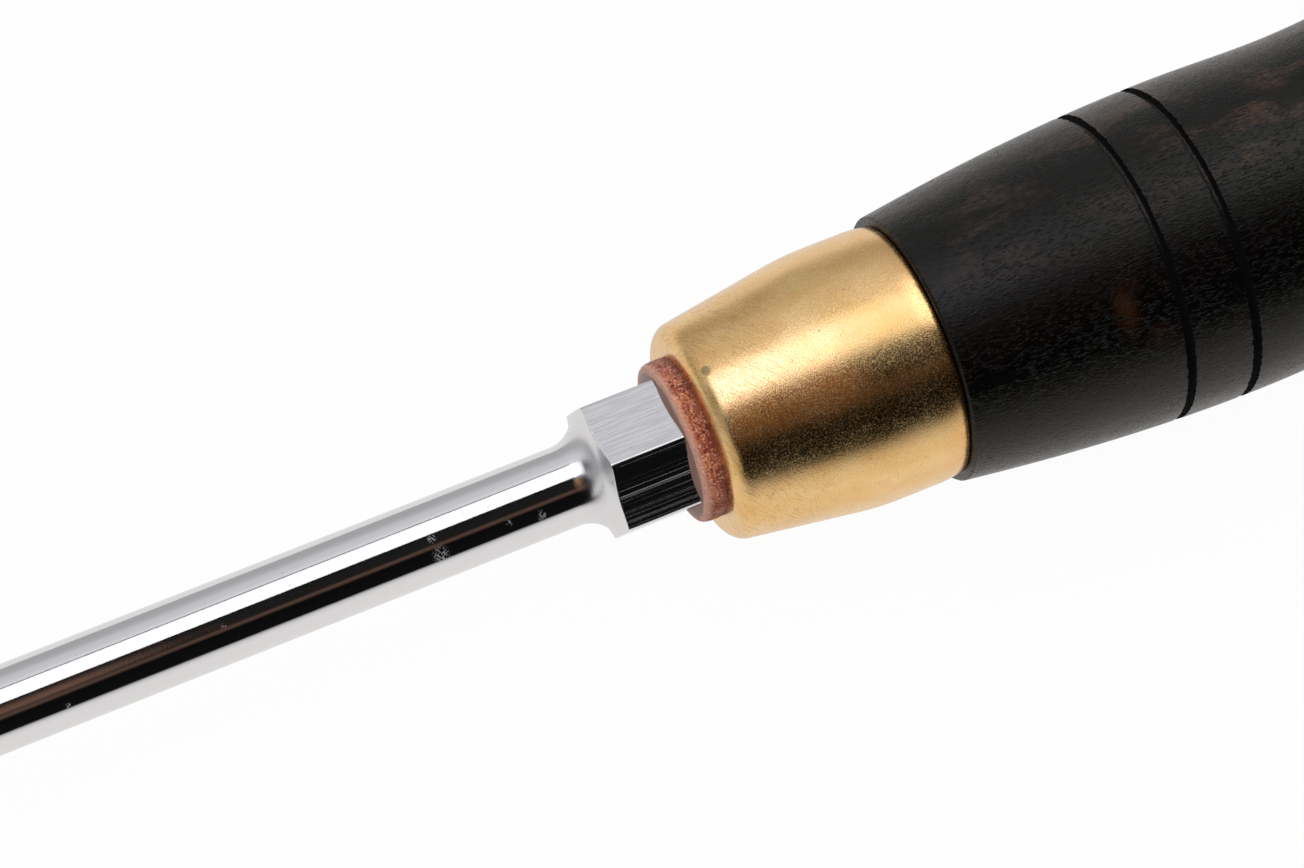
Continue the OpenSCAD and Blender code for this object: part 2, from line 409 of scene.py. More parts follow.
def groove_rings(at, phi):
    """Rings of one groove, from its front edge to its back edge."""
    middle = grip_radius(at)
    for a in np.radians(np.linspace(-90, 90, GROOVE_RINGS)):
        side = math.copysign(1, a)
        near_edge = abs(a) * 2 / math.pi
        width = GROOVE_R + chipped(phi, CHIP_STEP * at + side) * near_edge ** 2
        rise = (grip_radius(at + side * GROOVE_R) - middle) * near_edge ** 4
        x = GRIP_FRONT + at + width * math.sin(a)
        yield ring(x, middle + rise - GROOVE_DEPTH * math.cos(a), phi)


def build_handle():
    """Spigot, torn front rim, grip with its grooves, and butt."""
    phi = even_angles(HANDLE_POINTS)
    front = FERRULE_FRONT + FERRULE_WALL + SPIGOT_GAP
    spigot = FERRULE_R - FERRULE_WALL - SPIGOT_GAP
    hole = NECK_R + TANG_GAP
    rings = [ring(front, hole, phi), ring(front, spigot - SPIGOT_TAPER, phi)]
    rings += [ring(GRIP_FRONT - SPIGOT_STRAIGHT, spigot, phi), ring(GRIP_FRONT, spigot, phi)]
    rim_r = GRIP_STATIONS[0][1]
    worn = chipped(phi, 0.0)
    rings.append(ring(GRIP_FRONT, rim_r - GRIP_RIM - worn / 2, phi))
    rings.append(ring(GRIP_FRONT + GRIP_RIM + worn / 2, rim_r, phi))
    second = []
    start = 2 * GRIP_RIM + GROOVE_TEAR
    for groove in GROOVES:
        for at in np.linspace(start, groove - GROOVE_R - GROOVE_TEAR, GRIP_RINGS):
            rings.append(ring(GRIP_FRONT + at, grip_radius(at), phi))
        cut = list(groove_rings(groove, phi))
        second += range(len(rings), len(rings) + len(cut) - 1)
        rings += cut
        start = groove + GROOVE_R + GROOVE_TEAR
    for at in np.linspace(start, GRIP_LEN - BUTT_CHAMFER, PALM_RINGS):
        rings.append(ring(GRIP_FRONT + at, grip_radius(at), phi))
    turn_at = BUTT - BUTT_CHAMFER
    turn_r = GRIP_STATIONS[-1][1] - BUTT_CHAMFER
    for x, r in arc(turn_at, turn_r, BUTT_CHAMFER, CHAMFER_START, 180, CHAMFER_RINGS):
        rings.append(ring(x, r, phi))
    rings.append(ring(BUTT, hole, phi))
    piece = skin("handle_finish", rings, loop=True, sharp_deg=30, second=second)
    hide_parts("handle")
    return piece


def fibres(x, r, phi):
    """Radial unevenness of a cut leather edge at x, in mm."""
    out = []
    for a in phi:
        place = Vector((x, r * math.cos(a), r * math.sin(a)))
        out.append(sum(height * noise.noise(place * waves + SEED) for height, waves in FIBRE_WAVES))
    return np.array(out) - FIBRE_SINK


def build_bolster_washer():
    """Squeezed washer, risen round the hexagon, with a rounded cut edge."""
    phi = side_angles(WASHER_SIDE, pinch=0.3)
    hexagon = hex_radius(phi, HEX_AF / 2) + WASHER_HEX_GAP
    hole = NECK_R + TANG_GAP
    rim = HEX_BACK + WASHER_RIM
    rings = [ring(FERRULE_FRONT, hole, phi), ring(HEX_BACK, hole, phi), ring(HEX_BACK, hexagon, phi)]
    low, high = WASHER_RISE
    rise = low + (high - low) * (1 - np.cos(phi)) / 2
    slope = (rise + WASHER_RIM) / (WASHER_RIM_R - HEX_AF / 2)
    for t in np.linspace(0, 1, FACE_RINGS):
        r = hexagon + (WASHER_RIM_R - hexagon) * t
        dip = WASHER_DIP * math.sin(math.pi * t)
        rings.append(ring(rim - (WASHER_RIM_R - r) * slope + dip, r, phi))
    for t in np.linspace(*WASHER_CUT, CUT_RINGS):
        a = math.pi * t
        x = rim + (FERRULE_FRONT - rim) * (1 - math.cos(a)) / 2
        if a < math.pi / 2:
            r = WASHER_RIM_R + (WASHER_R - WASHER_RIM_R) * math.sin(a) ** WASHER_ROUND
        else:
            r = WASHER_R - WASHER_TUCK * (1 - math.sin(a))
        uneven = fibres(x, WASHER_R, phi) * min(1, FIBRE_RISE * t)
        rings.append(ring(x, np.minimum(r + uneven, WASHER_R), phi))
    piece = skin("bolster_washer_leather", rings, loop=True, sharp_deg=60)
    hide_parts("bolster_washer")
    return piece


def build_butt_washer():
    """Flat disc with a rounded cut edge."""
    phi = even_angles(BUTT_WASHER_POINTS)
    hole = RIVET_R + TANG_GAP
    flat_r = BUTT_WASHER_R - BUTT_WASHER_EDGE
    rings = [ring(CAP, hole, phi), ring(BUTT, hole, phi), ring(BUTT, flat_r, phi)]
    for t in np.linspace(*BUTT_WASHER_CUT, BUTT_CUT_RINGS):
        a = math.pi * t
        x = BUTT + (CAP - BUTT) * (1 - math.cos(a)) / 2
        r = flat_r + BUTT_WASHER_EDGE * math.sin(a) ** BUTT_WASHER_ROUND
        uneven = fibres(x, BUTT_WASHER_R, phi)
        rings.append(ring(x, np.minimum(r + uneven, BUTT_WASHER_R), phi))
    rings.append(ring(CAP, flat_r, phi))
    piece = skin("butt_washer_leather", rings, loop=True, sharp_deg=60)
    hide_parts("butt_washer")
    return piece


def build_cap():
    """Turned cap with a round shoulder, countersunk for the tang's end."""
    phi = even_angles(CAP_POINTS)
    profile = [(CAP, RIVET_R + TANG_GAP), (CAP, CAP_R - CAP_BEVEL)]
    profile += [(CAP + CAP_BEVEL * t, CAP_R - CAP_BEVEL * t) for t in CAP_BEVEL_MARKS]
    profile.append((CAP + CAP_BEVEL, CAP_R))
    profile += arc(END - CAP_SHOULDER, CAP_R - CAP_SHOULDER, CAP_SHOULDER, 90, 180, SHOULDER_RINGS)
    profile += [(END, RIVET_HEAD_R + EDGE_BREAK), (END - EDGE_BREAK, RIVET_HEAD_R)]
    profile.append((END - COUNTERSINK, RIVET_R))
    piece = skin("striking_cap_finish", [ring(x, r, phi) for x, r in profile], loop=True)
    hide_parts("striking_cap")
    return piece


# Materials

class Nodes:
    """Small helper that adds nodes to one tree."""

    def __init__(self, tree):
        self.tree = tree

    def node(self, kind, inputs=None, **props):
        made = self.tree.nodes.new(kind)
        for key, value in props.items():
            setattr(made, key, value)
        for key, value in (inputs or {}).items():
            self.feed(made.inputs[key], value)
        return made

    def feed(self, socket, value):
        if isinstance(value, bpy.types.NodeSocket):
            self.tree.links.new(value, socket)
        else:
            socket.default_value = value

    def span(self, value, low, high, to_low=0.0, to_high=1.0, smooth=True):
        """Value taken from one range to another, and held at the ends."""
        return self.node("ShaderNodeMapRange", {
            "Value": value, "From Min": low, "From Max": high, "To Min": to_low, "To Max": to_high,
        }, interpolation_type="SMOOTHSTEP" if smooth else "LINEAR").outputs["Result"]

    def hump(self, value, start, peak, end):
        """Rises from 0 at start to 1 at peak, and falls to 0 at end."""
        return self.math("MULTIPLY", self.span(value, start, peak), self.span(value, end, peak))

    def math(self, operation, a, b=0.0):
        return self.node("ShaderNodeMath", {0: a, 1: b}, operation=operation).outputs["Value"]

    def product(self, *values):
        total = values[0]
        for value in values[1:]:
            total = self.math("MULTIPLY", total, value)
        return total

    def total(self, *values):
        total = values[0]
        for value in values[1:]:
            total = self.math("ADD", total, value)
        return total

    def most(self, *values):
        top = values[0]
        for value in values[1:]:
            top = self.math("MAXIMUM", top, value)
        return top

    def vector(self, operation, a, b=(0, 0, 0)):
        return self.node("ShaderNodeVectorMath", {0: a, 1: b}, operation=operation).outputs["Vector"]

    def measure(self, operation, a, b=(0, 0, 0)):
        return self.node("ShaderNodeVectorMath", {0: a, 1: b}, operation=operation).outputs["Value"]

    def mix(self, factor, a, b):
        made = self.node("ShaderNodeMix", {"Factor": factor}, data_type="RGBA")
        self.feed(made.inputs[6], a)
        self.feed(made.inputs[7], b)
        return made.outputs[2]


class Shader(Nodes):
    """One node material, with positions on the object in mm."""

    def __init__(self, name):
        self.material = bpy.data.materials.new(name)
        self.material.use_nodes = True
        super().__init__(self.material.node_tree)
        self.bsdf = self.tree.nodes["Principled BSDF"]

    def set(self, **values):
        for key, value in values.items():
            self.feed(self.bsdf.inputs[key.replace("_", " ")], value)

    def place(self, scale=(1, 1, 1)):
        """Position on the object in mm, stretched by a scale for each axis."""
        coord = self.node("ShaderNodeTexCoord")
        return self.vector("MULTIPLY", coord.outputs["Object"], [s / MM for s in scale])

    def noise(self, scale, detail=2.0, rough=0.5, distort=0.0):
        """Noise with so many waves for each mm along each axis."""
        return self.noise_at(self.place(scale), detail, rough, distort)

    def noise_at(self, vector, detail=2.0, rough=0.5, distort=0.0):
        return self.node("ShaderNodeTexNoise", {
            "Vector": vector, "Scale": 1.0, "Detail": detail, "Roughness": rough, "Distortion": distort,
        }).outputs["Fac"]

    def hairlines(self, at, slant_deg, length, width):
        """Noise drawn out along slanting lines on an unrolled position; length and width are in mm."""
        turned = self.node("ShaderNodeVectorRotate", {"Vector": at, "Angle": -math.radians(slant_deg)},
                           rotation_type="Z_AXIS").outputs["Vector"]
        return self.noise_at(self.vector("MULTIPLY", turned, (1 / length, 1 / width, 1)), detail=1.0)

    def facing(self, turn_deg, radius):
        """Share of the radius towards a turn from straight up to the near side, from -1 to 1."""
        turn = math.radians(turn_deg)
        way = (0, -math.sin(turn) / radius, math.cos(turn) / radius)
        return self.measure("DOT_PRODUCT", self.place(), way)

    def along(self):
        """Distance along the axis in mm."""
        return self.node("ShaderNodeSeparateXYZ", {"Vector": self.place()}).outputs["X"]

    def from_axis(self):
        """Distance from the axis in mm."""
        return self.measure("LENGTH", self.place((0, 1, 1)))

    def unrolled(self, radius):
        """Distance along the axis and round it from straight up, both in mm."""
        split = self.node("ShaderNodeSeparateXYZ", {"Vector": self.place()})
        near = self.math("MULTIPLY", split.outputs["Y"], -1.0)
        turn = self.math("ARCTAN2", near, split.outputs["Z"])
        return self.node("ShaderNodeCombineXYZ", {
            "X": split.outputs["X"], "Y": self.math("MULTIPLY", turn, radius)}).outputs["Vector"]

    def spot(self, at, middle, size, soft=0.5):
        """Soft spot, 1 in its middle, on an unrolled position; middle and size are (along, round) in mm."""
        off = self.vector("SUBTRACT", at, (*middle, 0))
        far = self.measure("LENGTH", self.vector("DIVIDE", off, (*size, 1)))
        return self.span(far, 0.5 + soft, 0.5 - soft / 2)

    def bump(self, height, depth_mm, under=None):
        """Normal of a surface raised by a height from 0 to 1, on top of the normal under it."""
        inputs = {"Height": height, "Strength": 1.0, "Distance": depth_mm * MM}
        if under is not None:
            inputs["Normal"] = under
        return self.node("ShaderNodeBump", inputs).outputs["Normal"]


def rgba(r, g, b):
    return (r, g, b, 1.0)


# Dull marks on the shank: distance ahead of the hexagon, degrees from straight up to the near side, size
DULL_MARKS = [
    (14.2, 32.0, 0.45),
    (13.9, 54.0, 1.0),
    (8.25, 50.0, 0.45),
    (5.75, 56.0, 0.6),
    (43.7, 61.5, 0.35),
    (31.0, 38.0, 0.3),
]
# Strokes in the dull marks: slants in degrees, length and width
DULL_SLANTS = (65, -30)
DULL_STROKE = (0.55, 0.11)
# Turn of the flat with the coarse milling lines, from straight up to the near side
MILLED_FLAT = 60.0
# Half width of the change of finish at the hexagon
FINISH_FADE = 0.1
# Where the fillet's satin starts and is full, ahead of the hexagon
SATIN_START = 3.2
SATIN_FULL = 1.0
PLATE_TONES = (rgba(0.78, 0.78, 0.79), rgba(0.81, 0.81, 0.82))
SCORE_TONE = rgba(0.5, 0.5, 0.51)
PLATE_SPECK_TONE = rgba(0.4, 0.38, 0.37)


def chrome_material():
    """Polished plate with dull marks, satin on the fillet, brushed and milled on the hexagon."""
    s = Shader("chrome_plate")
    x = s.along()
    past_fillet = s.span(x, HEX_FRONT - FINISH_FADE, HEX_FRONT + FINISH_FADE)
    on_hex = s.product(past_fillet, s.span(x, HEX_BACK + 3 * FINISH_FADE, HEX_BACK + FINISH_FADE))
    ahead_of_hex = s.span(x, HEX_FRONT + FINISH_FADE, HEX_FRONT - FINISH_FADE)
    on_fillet = s.product(s.span(x, HEX_FRONT - SATIN_START, HEX_FRONT - SATIN_FULL), ahead_of_hex)
    haze = s.noise((0.35, 0.8, 0.8), detail=4.0)
    at = s.unrolled(SHANK_R)
    marks = []
    for ahead, turn, size in DULL_MARKS:
        marks.append(s.spot(at, (HEX_FRONT - ahead, math.radians(turn) * SHANK_R), (size, size)))
    strokes = s.most(*(s.hairlines(at, slant, *DULL_STROKE) for slant in DULL_SLANTS))
    dull = s.product(s.most(*marks), s.span(strokes, 0.52, 0.62))
    milled = s.product(s.span(s.facing(MILLED_FLAT, HEX_AF / 2), 0.9, 1.0), on_hex)
    scuffs = s.product(s.span(s.noise((0.02, 6, 6), detail=1.0), 0.48, 0.64), milled)
    rough = s.total(
        s.span(haze, 0.35, 0.7, 0.045, 0.07),
        s.product(on_fillet, 0.22),
        s.product(dull, 0.55),
        s.product(scuffs, 0.22),
    )
    specks = s.span(s.noise((3.4, 4.2, 4.2), detail=1.0), 0.75, 0.79)
    scores = s.product(s.span(s.noise((0.25, 5, 5), detail=3.0, rough=0.7), 0.4, 0.62), on_hex)
    base = s.mix(haze, *PLATE_TONES)
    base = s.mix(s.product(scores, 0.45), base, SCORE_TONE)
    base = s.mix(s.product(specks, 0.6), base, PLATE_SPECK_TONE)
    s.set(Base_Color=base, Metallic=1.0, Roughness=rough)
    peel = s.noise((5, 5, 5), detail=2.0)
    turned = s.product(s.noise((16, 0.3, 0.3), detail=2.0), on_fillet)
    brushed = s.product(s.noise((0.006, 9, 9), detail=1.0), on_hex)
    cuts = s.product(s.noise((0.004, 2.7, 2.7), detail=1.5, rough=0.5), milled)
    normal = s.bump(peel, depth_mm=0.0009)
    normal = s.bump(turned, depth_mm=0.003, under=normal)
    normal = s.bump(brushed, depth_mm=0.011, under=normal)
    s.set(Normal=s.bump(cuts, depth_mm=0.034, under=normal))
    return s.material


# Small pit in the brass: distance behind the front and round from straight up, in mm
PIT_PLACE = (1.05, 0.4)
PIT_SIZE = (0.6, 0.75)
# Hairline scratches: slant in degrees, length and width in mm, and strength
BRASS_SCRATCHES = [
    (50, 1.6, 0.1, 1.0),
    (78, 1.2, 0.09, 0.96),
]
# Where the scratches fade out, and where the nose is duller, as distances behind the front
SCRATCHES_END = (9.0, 5.0)
NOSE_DULL = (1.55, 0.35)
# Stain and oxide by the wood, as distances from it, and how far their edge wanders
STAIN_REACH = (-2.6, -0.9, -0.1)
OXIDE_REACH = (-0.7, -0.1)
STAIN_WANDER = 1.6
BRASS_TONES = (rgba(0.9, 0.565, 0.22), rgba(0.98, 0.67, 0.305))
STAIN_TONE = rgba(0.9, 0.48, 0.2)
OXIDE_TONE = rgba(0.36, 0.17, 0.06)
BRASS_SPECK_TONE = rgba(0.3, 0.21, 0.1)
PIT_TONE = rgba(0.28, 0.22, 0.1)
SCRATCH_TONE = rgba(0.5, 0.31, 0.13)
GRAIN_TONE = rgba(0.55, 0.31, 0.11)


def brass_material():
    """Satin brass with fine grain, hairline scratches, a pit and a stained rear edge."""
    s = Shader("satin_brass")
    x = s.along()
    behind = s.math("SUBTRACT", x, FERRULE_FRONT)
    at = s.unrolled(FERRULE_FRONT_R)
    grain = s.noise((9, 9, 9), detail=1.0, rough=0.8)
    cloud = s.noise((0.25, 0.4, 0.4), detail=3.0)
    patina = s.noise((0.5, 0.5, 0.5), detail=4.0, rough=0.6)
    to_wood = s.total(x, s.product(cloud, STAIN_WANDER), -GRIP_FRONT - STAIN_WANDER / 2)
    stain = s.product(s.most(s.span(patina, 0.52, 0.7), s.hump(to_wood, *STAIN_REACH)), 0.35)
    oxide = s.product(s.span(to_wood, *OXIDE_REACH), s.span(patina, 0.4, 0.55, 0.3, 0.8))
    specks = s.span(s.noise((3.2, 3.2, 3.2), detail=1.0), 0.73, 0.78)
    pit = s.spot(at, (FERRULE_FRONT + PIT_PLACE[0], PIT_PLACE[1]), PIT_SIZE, soft=0.3)
    scratches = []
    for slant, length, width, strength in BRASS_SCRATCHES:
        scratches.append(s.product(s.hairlines(at, slant, length, width), strength))
    hairs = s.product(s.span(s.most(*scratches), 0.57, 0.66), s.span(behind, *SCRATCHES_END))
    base = s.mix(s.span(cloud, 0.3, 0.7), *BRASS_TONES)
    base = s.mix(stain, base, STAIN_TONE)
    base = s.mix(oxide, base, OXIDE_TONE)
    base = s.mix(s.product(specks, 0.7), base, BRASS_SPECK_TONE)
    base = s.mix(s.product(pit, 0.9), base, PIT_TONE)
    base = s.mix(s.product(hairs, 0.5), base, SCRATCH_TONE)
    base = s.mix(s.span(grain, 0.5, 0.34, 0.0, 0.25), base, GRAIN_TONE)
    rough = s.total(
        s.span(cloud, 0.3, 0.7, 0.19, 0.24),
        s.span(behind, *NOSE_DULL, 0.0, 0.06),
        s.span(grain, 0.51, 0.64, 0.0, 0.23),
    )
    s.set(Base_Color=base, Metallic=1.0, Roughness=rough, Coat_Weight=0.25, Coat_Roughness=0.25)
    normal = s.bump(grain, depth_mm=0.009)
    normal = s.bump(hairs, depth_mm=-0.002, under=normal)
    s.set(Normal=s.bump(pit, depth_mm=-0.02, under=normal))
    return s.material


# Reddish heartwood spots: distance behind the ferrule, degrees from straight up to the near side,
# size along and round in mm, and strength
HEARTWOOD = [
    (13.3, 47.0, 0.9, 1.8, 1.0),
    (15.3, 59.0, 0.9, 1.0, 0.4),
    (14.2, 39.0, 0.7, 0.8, 0.3),
]
HEARTWOOD_R = 12.4
# Turns of the wood's browner sides and of the grooves' bare flank with its painted light, from straight up
# to the near side
BROWN_SIDE = -48.0
LOWER_SIDE = 115.0
LIT_BARE_FLANK_SIDE = -58.0
# Where the brown streaks grow lighter towards the palm, as distances behind the ferrule
PALE_STREAKS = (14.0, 26.0)
# Front flank of a groove, as distances from its middle, and how far it may reach ahead
FLANK_FADE = (0.2, 0.08)
FLANK_REACH = (-2.0, -1.0)
WOOD_TONE = rgba(0.0011, 0.0009, 0.0008)
STREAK_TONES = (rgba(0.038, 0.022, 0.0155), rgba(0.058, 0.03, 0.018))
HEARTWOOD_TONE = rgba(0.03, 0.0095, 0.003)
PORE_TONE = rgba(0.0006, 0.0006, 0.0006)
GLOSS_TONE = rgba(1.0, 0.97, 0.87)
SCORCHED_TONE = rgba(0.001, 0.001, 0.001)
# Bare flank tones, lightened as painted light
LIT_FLANK_TONES = (rgba(0.004, 0.0035, 0.003), rgba(0.034, 0.028, 0.023))


def wood_material():
    """Near-black wood with fibres, open pores, brown streaks and reddish heartwood."""
    s = Shader("dark_wood")
    fibre = s.noise((1.6, 7.5, 7.5), detail=3.0, rough=0.6, distort=0.4)
    pebble = s.noise((3.0, 8.0, 8.0), detail=2.0, rough=0.6)
    ripple = s.noise((0.5, 2.2, 2.2), detail=2.0)
    mottle = s.noise((1.5, 4.0, 4.0), detail=3.0, rough=0.7)
    patch = s.noise((0.15, 0.42, 0.42), detail=3.0, rough=0.55)
    open_zone = s.span(s.noise((0.12, 0.3, 0.3), detail=1.0), 0.34, 0.52)
    pores = s.product(s.span(s.noise((1.5, 7.0, 7.0), detail=1.0), 0.42, 0.35), open_zone)
    brown_side = s.most(s.span(s.facing(BROWN_SIDE, HEARTWOOD_R), 0.2, 0.75),
                        s.span(s.facing(LOWER_SIDE, HEARTWOOD_R), 0.7, 1.0, 0.0, 0.8))
    brown = s.product(s.span(patch, 0.48, 0.66), s.span(mottle, 0.3, 0.65), brown_side)
    at = s.unrolled(HEARTWOOD_R)
    spots = []
    for behind, turn, length, width, strength in HEARTWOOD:
        middle = (GRIP_FRONT + behind, math.radians(turn) * HEARTWOOD_R)
        spots.append(s.product(s.spot(at, middle, (length, width), soft=1.1), strength))
    red = s.product(s.most(*spots), s.span(mottle, 0.25, 0.6, 0.4, 1.0))
    to_palm = s.span(s.along(), *(GRIP_FRONT + behind for behind in PALE_STREAKS))
    base = s.mix(brown, WOOD_TONE, s.mix(to_palm, *STREAK_TONES))
    base = s.mix(red, base, HEARTWOOD_TONE)
    base = s.mix(pores, base, PORE_TONE)
    rough = s.total(s.span(fibre, 0.3, 0.7, 0.22, 0.31), s.product(pores, 0.08))
    s.set(Base_Color=base, Roughness=rough, IOR=1.34, Specular_Tint=GLOSS_TONE)
    normal = s.bump(ripple, depth_mm=0.012)
    normal = s.bump(fibre, depth_mm=0.03, under=normal)
    normal = s.bump(pebble, depth_mm=0.018, under=normal)
    s.set(Normal=s.bump(pores, depth_mm=-0.06, under=normal))
    return s.material


def groove_material():
    """Scorched black, apart from the glossier bare front flank on the browner side, which has painted
    light.
    """
    s = Shader("scorched_groove")
    x = s.along()
    soot = s.noise((6, 6, 6), detail=3.0, rough=0.7)
    flanks = []
    for groove in GROOVES:
        from_middle = s.math("SUBTRACT", x, GRIP_FRONT + groove)
        flanks.append(s.product(s.span(from_middle, *FLANK_FADE), s.span(from_middle, *FLANK_REACH)))
    # Bare front flank, glossier and lighter only on the side where light falls: its lighter tones are
    # painted light
    lit_bare_flank = s.product(s.most(*flanks), s.span(s.facing(LIT_BARE_FLANK_SIDE, HEARTWOOD_R), -0.1, 0.35))
    base = s.mix(lit_bare_flank, SCORCHED_TONE, s.mix(s.span(soot, 0.42, 0.6), *LIT_FLANK_TONES))
    s.set(Base_Color=base, Roughness=s.span(lit_bare_flank, 0.0, 1.0, 0.95, 0.5), IOR=1.3)
    s.set(Normal=s.bump(soot, depth_mm=0.05))
    return s.material


# Loose fibres catch the light along the outline
LEATHER_SHEEN = 0.3
# Bolster washer, as distances behind the bolster: where the cut edge starts, where the painted highlight on
# its front rim ends and where the painted shade on its rear sets in
CUT_START = (0.12, 0.2)
LIT_RIM_END = (0.75, 0.3)
SHADED_REAR = (1.2, 1.85)
# How far these places wander
CUT_WANDER = 0.1
# Painted highlight on the outer rim of its face, as distances from the face's edge
LIT_FACE_RIM = (-0.35, 0.05)
RAW_TONES = (rgba(0.315, 0.058, 0.023), rgba(0.63, 0.21, 0.1))
RAW_GAP_SHADE_TONE = rgba(0.07, 0.01, 0.006)
RAW_FIBRE_TONE = rgba(0.82, 0.48, 0.35)
FACE_TONES = (rgba(0.19, 0.092, 0.066), rgba(0.27, 0.14, 0.103))
# Tone of the painted highlight on the face's rim
FACE_RIM_HIGHLIGHT_TONE = rgba(0.5, 0.27, 0.19)
# Painted shade on the cut edge's rear, then painted highlight on its front rim
REAR_SHADE_TONE = rgba(0.1, 0.025, 0.016)
RIM_HIGHLIGHT_TONE = rgba(0.7, 0.38, 0.27)
# Depth of the raw fibres in mm
RAW_DEPTH = 0.08


def raw_leather(s):
    """Raw fibres of a cut leather edge, as (colour, height); the colour is darker in the gaps, partly as
    painted shade.
    """
    tone = s.noise((1.0, 1.0, 1.0), detail=3.0, rough=0.6)
    fibre = s.noise((5.0, 5.0, 5.0), detail=4.0, rough=0.75, distort=0.5)
    base = s.mix(s.span(tone, 0.36, 0.64), *RAW_TONES)
    # Dark where the fibres lie deepest: partly the fibres' own dark specks, partly painted shade in the
    # gaps
    base = s.mix(s.span(fibre, 0.5, 0.37), base, RAW_GAP_SHADE_TONE)
    base = s.mix(s.span(fibre, 0.54, 0.63), base, RAW_FIBRE_TONE)
    return base, fibre


def bolster_leather_material():
    """Smooth dark face and raw cut edge; painted highlights on both rims, painted shade on the edge's rear.
    """
    s = Shader("bolster_leather")
    raw, fibre = raw_leather(s)
    behind = s.total(s.along(), -HEX_BACK, s.product(s.noise((0.6, 0.6, 0.6), detail=2.0), CUT_WANDER))
    cut = s.span(behind, *CUT_START)
    # Pale front rim of the cut edge: painted highlight
    rim = s.product(cut, s.span(behind, *LIT_RIM_END))
    # Darker rear of the cut edge by the ferrule: painted shade
    shaded_rear = s.span(behind, *SHADED_REAR)
    face = s.mix(s.noise((2.5, 2.5, 2.5), detail=3.0), *FACE_TONES)
    # Pale outer rim of the face: painted highlight
    face_rim_highlight = s.span(s.from_axis(), *(WASHER_RIM_R + off for off in LIT_FACE_RIM))
    face = s.mix(s.product(face_rim_highlight, 0.8), face, FACE_RIM_HIGHLIGHT_TONE)
    base = s.mix(s.product(shaded_rear, 0.5), raw, REAR_SHADE_TONE)
    base = s.mix(cut, face, base)
    base = s.mix(s.product(rim, 0.7), base, RIM_HIGHLIGHT_TONE)
    s.set(Base_Color=base, Roughness=s.span(cut, 0.0, 1.0, 0.6, 0.9))
    s.set(Specular_IOR_Level=0.2, Sheen_Weight=LEATHER_SHEEN)
    s.set(Normal=s.bump(s.product(fibre, s.span(cut, 0.0, 1.0, 0.1, 1.0)), RAW_DEPTH))
    return s.material


def butt_leather_material():
    """Raw fibres all over."""
    s = Shader("butt_leather")
    raw, fibre = raw_leather(s)
    s.set(Base_Color=raw, Roughness=s.span(fibre, 0.3, 0.7, 0.85, 0.95), Sheen_Weight=LEATHER_SHEEN)
    s.set(Normal=s.bump(fibre, RAW_DEPTH))
    return s.material


STEEL_TONES = (rgba(0.5, 0.5, 0.51), rgba(0.62, 0.62, 0.63))


def steel_material():
    """Steel with turning lines and light wear."""
    s = Shader("turned_steel")
    lines = s.noise((22, 0.2, 0.2), detail=3.0, rough=0.6)
    wear = s.noise((0.7, 0.7, 0.7), detail=4.0)
    s.set(Base_Color=s.mix(wear, *STEEL_TONES), Metallic=1.0, Roughness=s.span(wear, 0.3, 0.7, 0.24, 0.36))
    s.set(Normal=s.bump(lines, depth_mm=0.01))
    return s.material


# Floor, light and camera

# Half width of the floor in metres, and where its reflection fades out in front of the tool, in mm
FLOOR_HALF = 2.0
FLOOR_FADE = (-150, -25)
# Share of the floor that glows, its plain tone, and its tones in reflections, faded out and full
FLOOR_GLOW = 0.965
FLOOR_TONE = rgba(0.86, 0.85, 0.84)
FLOOR_MIRRORED = (rgba(0.005, 0.005, 0.005), rgba(0.86, 0.84, 0.825))
WHITE = rgba(1.0, 1.0, 1.0)


def build_floor():
    """Floor under the tool, which glows for the camera and in reflections."""
    low, _ = cad_box
    mesh = bpy.data.meshes.new("floor")
    corners = [(-1, -1), (1, -1), (1, 1), (-1, 1)]
    mesh.from_pydata([(x * FLOOR_HALF, y * FLOOR_HALF, low[2]) for x, y in corners], [], [(0, 1, 2, 3)])
    floor = bpy.data.objects.new("floor", mesh)
    bpy.context.scene.collection.objects.link(floor)
    s = Shader("floor_white")
    split = s.node("ShaderNodeSeparateXYZ", {"Vector": s.place()})
    tone = s.mix(s.span(split.outputs["Y"], *FLOOR_FADE), *FLOOR_MIRRORED)
    path = s.node("ShaderNodeLightPath")
    seen = path.outputs["Is Camera Ray"]
    mirrored = s.most(path.outputs["Is Glossy Ray"], path.outputs["Is Transmission Ray"])
    glow = s.node("ShaderNodeEmission", {"Color": s.mix(seen, tone, WHITE), "Strength": 1.0})
    plain = s.node("ShaderNodeBsdfDiffuse", {"Color": s.mix(seen, tone, FLOOR_TONE)})
    share = s.product(s.most(seen, mirrored), FLOOR_GLOW)
    both = s.node("ShaderNodeMixShader", {0: share, 1: plain.outputs[0], 2: glow.outputs[0]})
    s.feed(s.tree.nodes["Material Output"].inputs["Surface"], both.outputs[0])
    mesh.materials.append(s.material)


